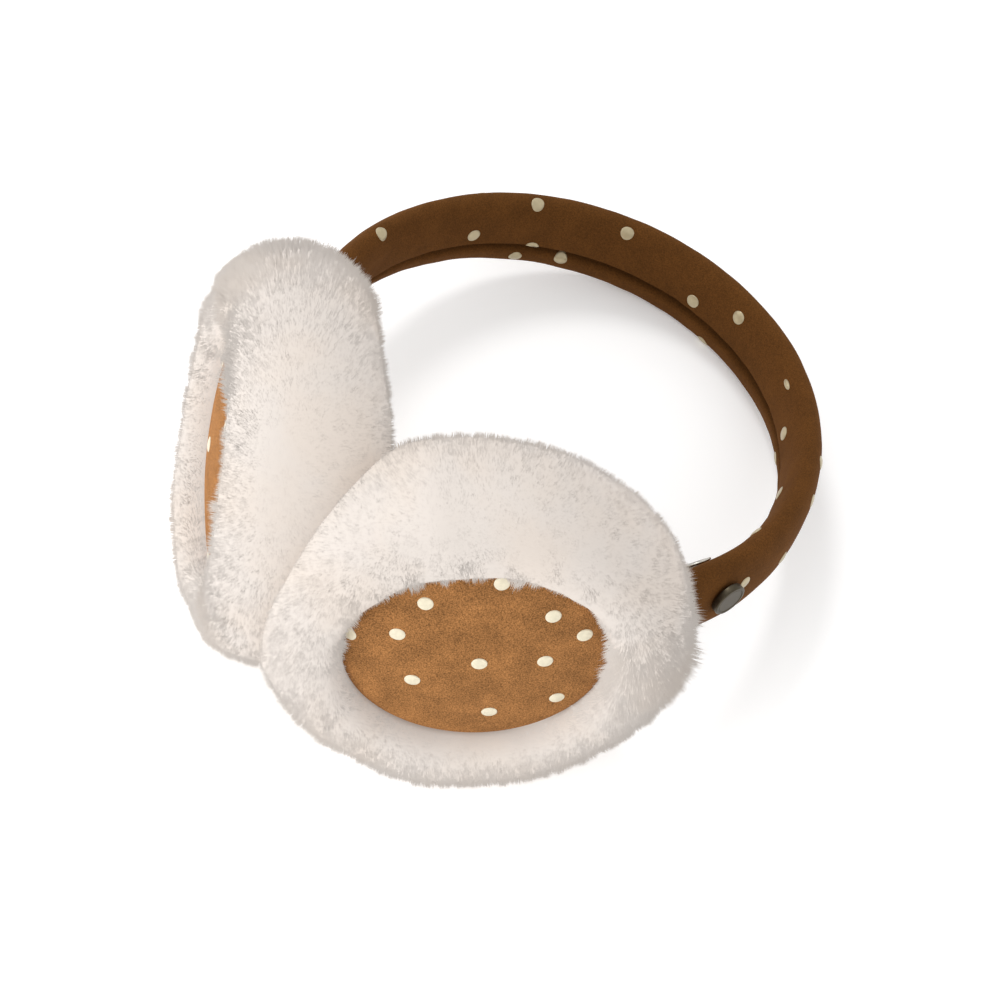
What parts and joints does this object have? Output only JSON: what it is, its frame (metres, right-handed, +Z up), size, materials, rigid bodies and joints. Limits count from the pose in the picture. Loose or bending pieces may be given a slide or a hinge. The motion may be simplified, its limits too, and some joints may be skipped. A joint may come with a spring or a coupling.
{
  "type": "fur earmuffs",
  "caption": "Fur earmuffs: round plush sheepskin muffs with sunk suede discs, on a padded suede headband with a snap button, lying on the crown and the muffs.",
  "frame": {"origin": "on the ground under the middle of the outline", "axes": "+X towards the right ear, +Y towards the crown of the band, +Z up from the ground that the pair lies on"},
  "size_m": [0.166, 0.203, 0.1094],
  "materials": {
    "brown_suede": "dark brown suede with a short nap and scattered foil dots",
    "sheepskin_fur": "dense cream sheepskin pile",
    "tan_suede": "tan suede with scattered foil dots",
    "gunmetal": "satin gunmetal",
    "nickel": "bright nickel"
  },
  "bodies": {
    "root": {"band_cover": "brown_suede", "left_muff_fur": "sheepskin_fur", "right_muff_fur": "sheepskin_fur", "left_muff_disc": "tan_suede", "right_muff_disc": "tan_suede", "snap_button": "gunmetal", "snap_eyelet": "nickel"}
  },
  "joints": []
}
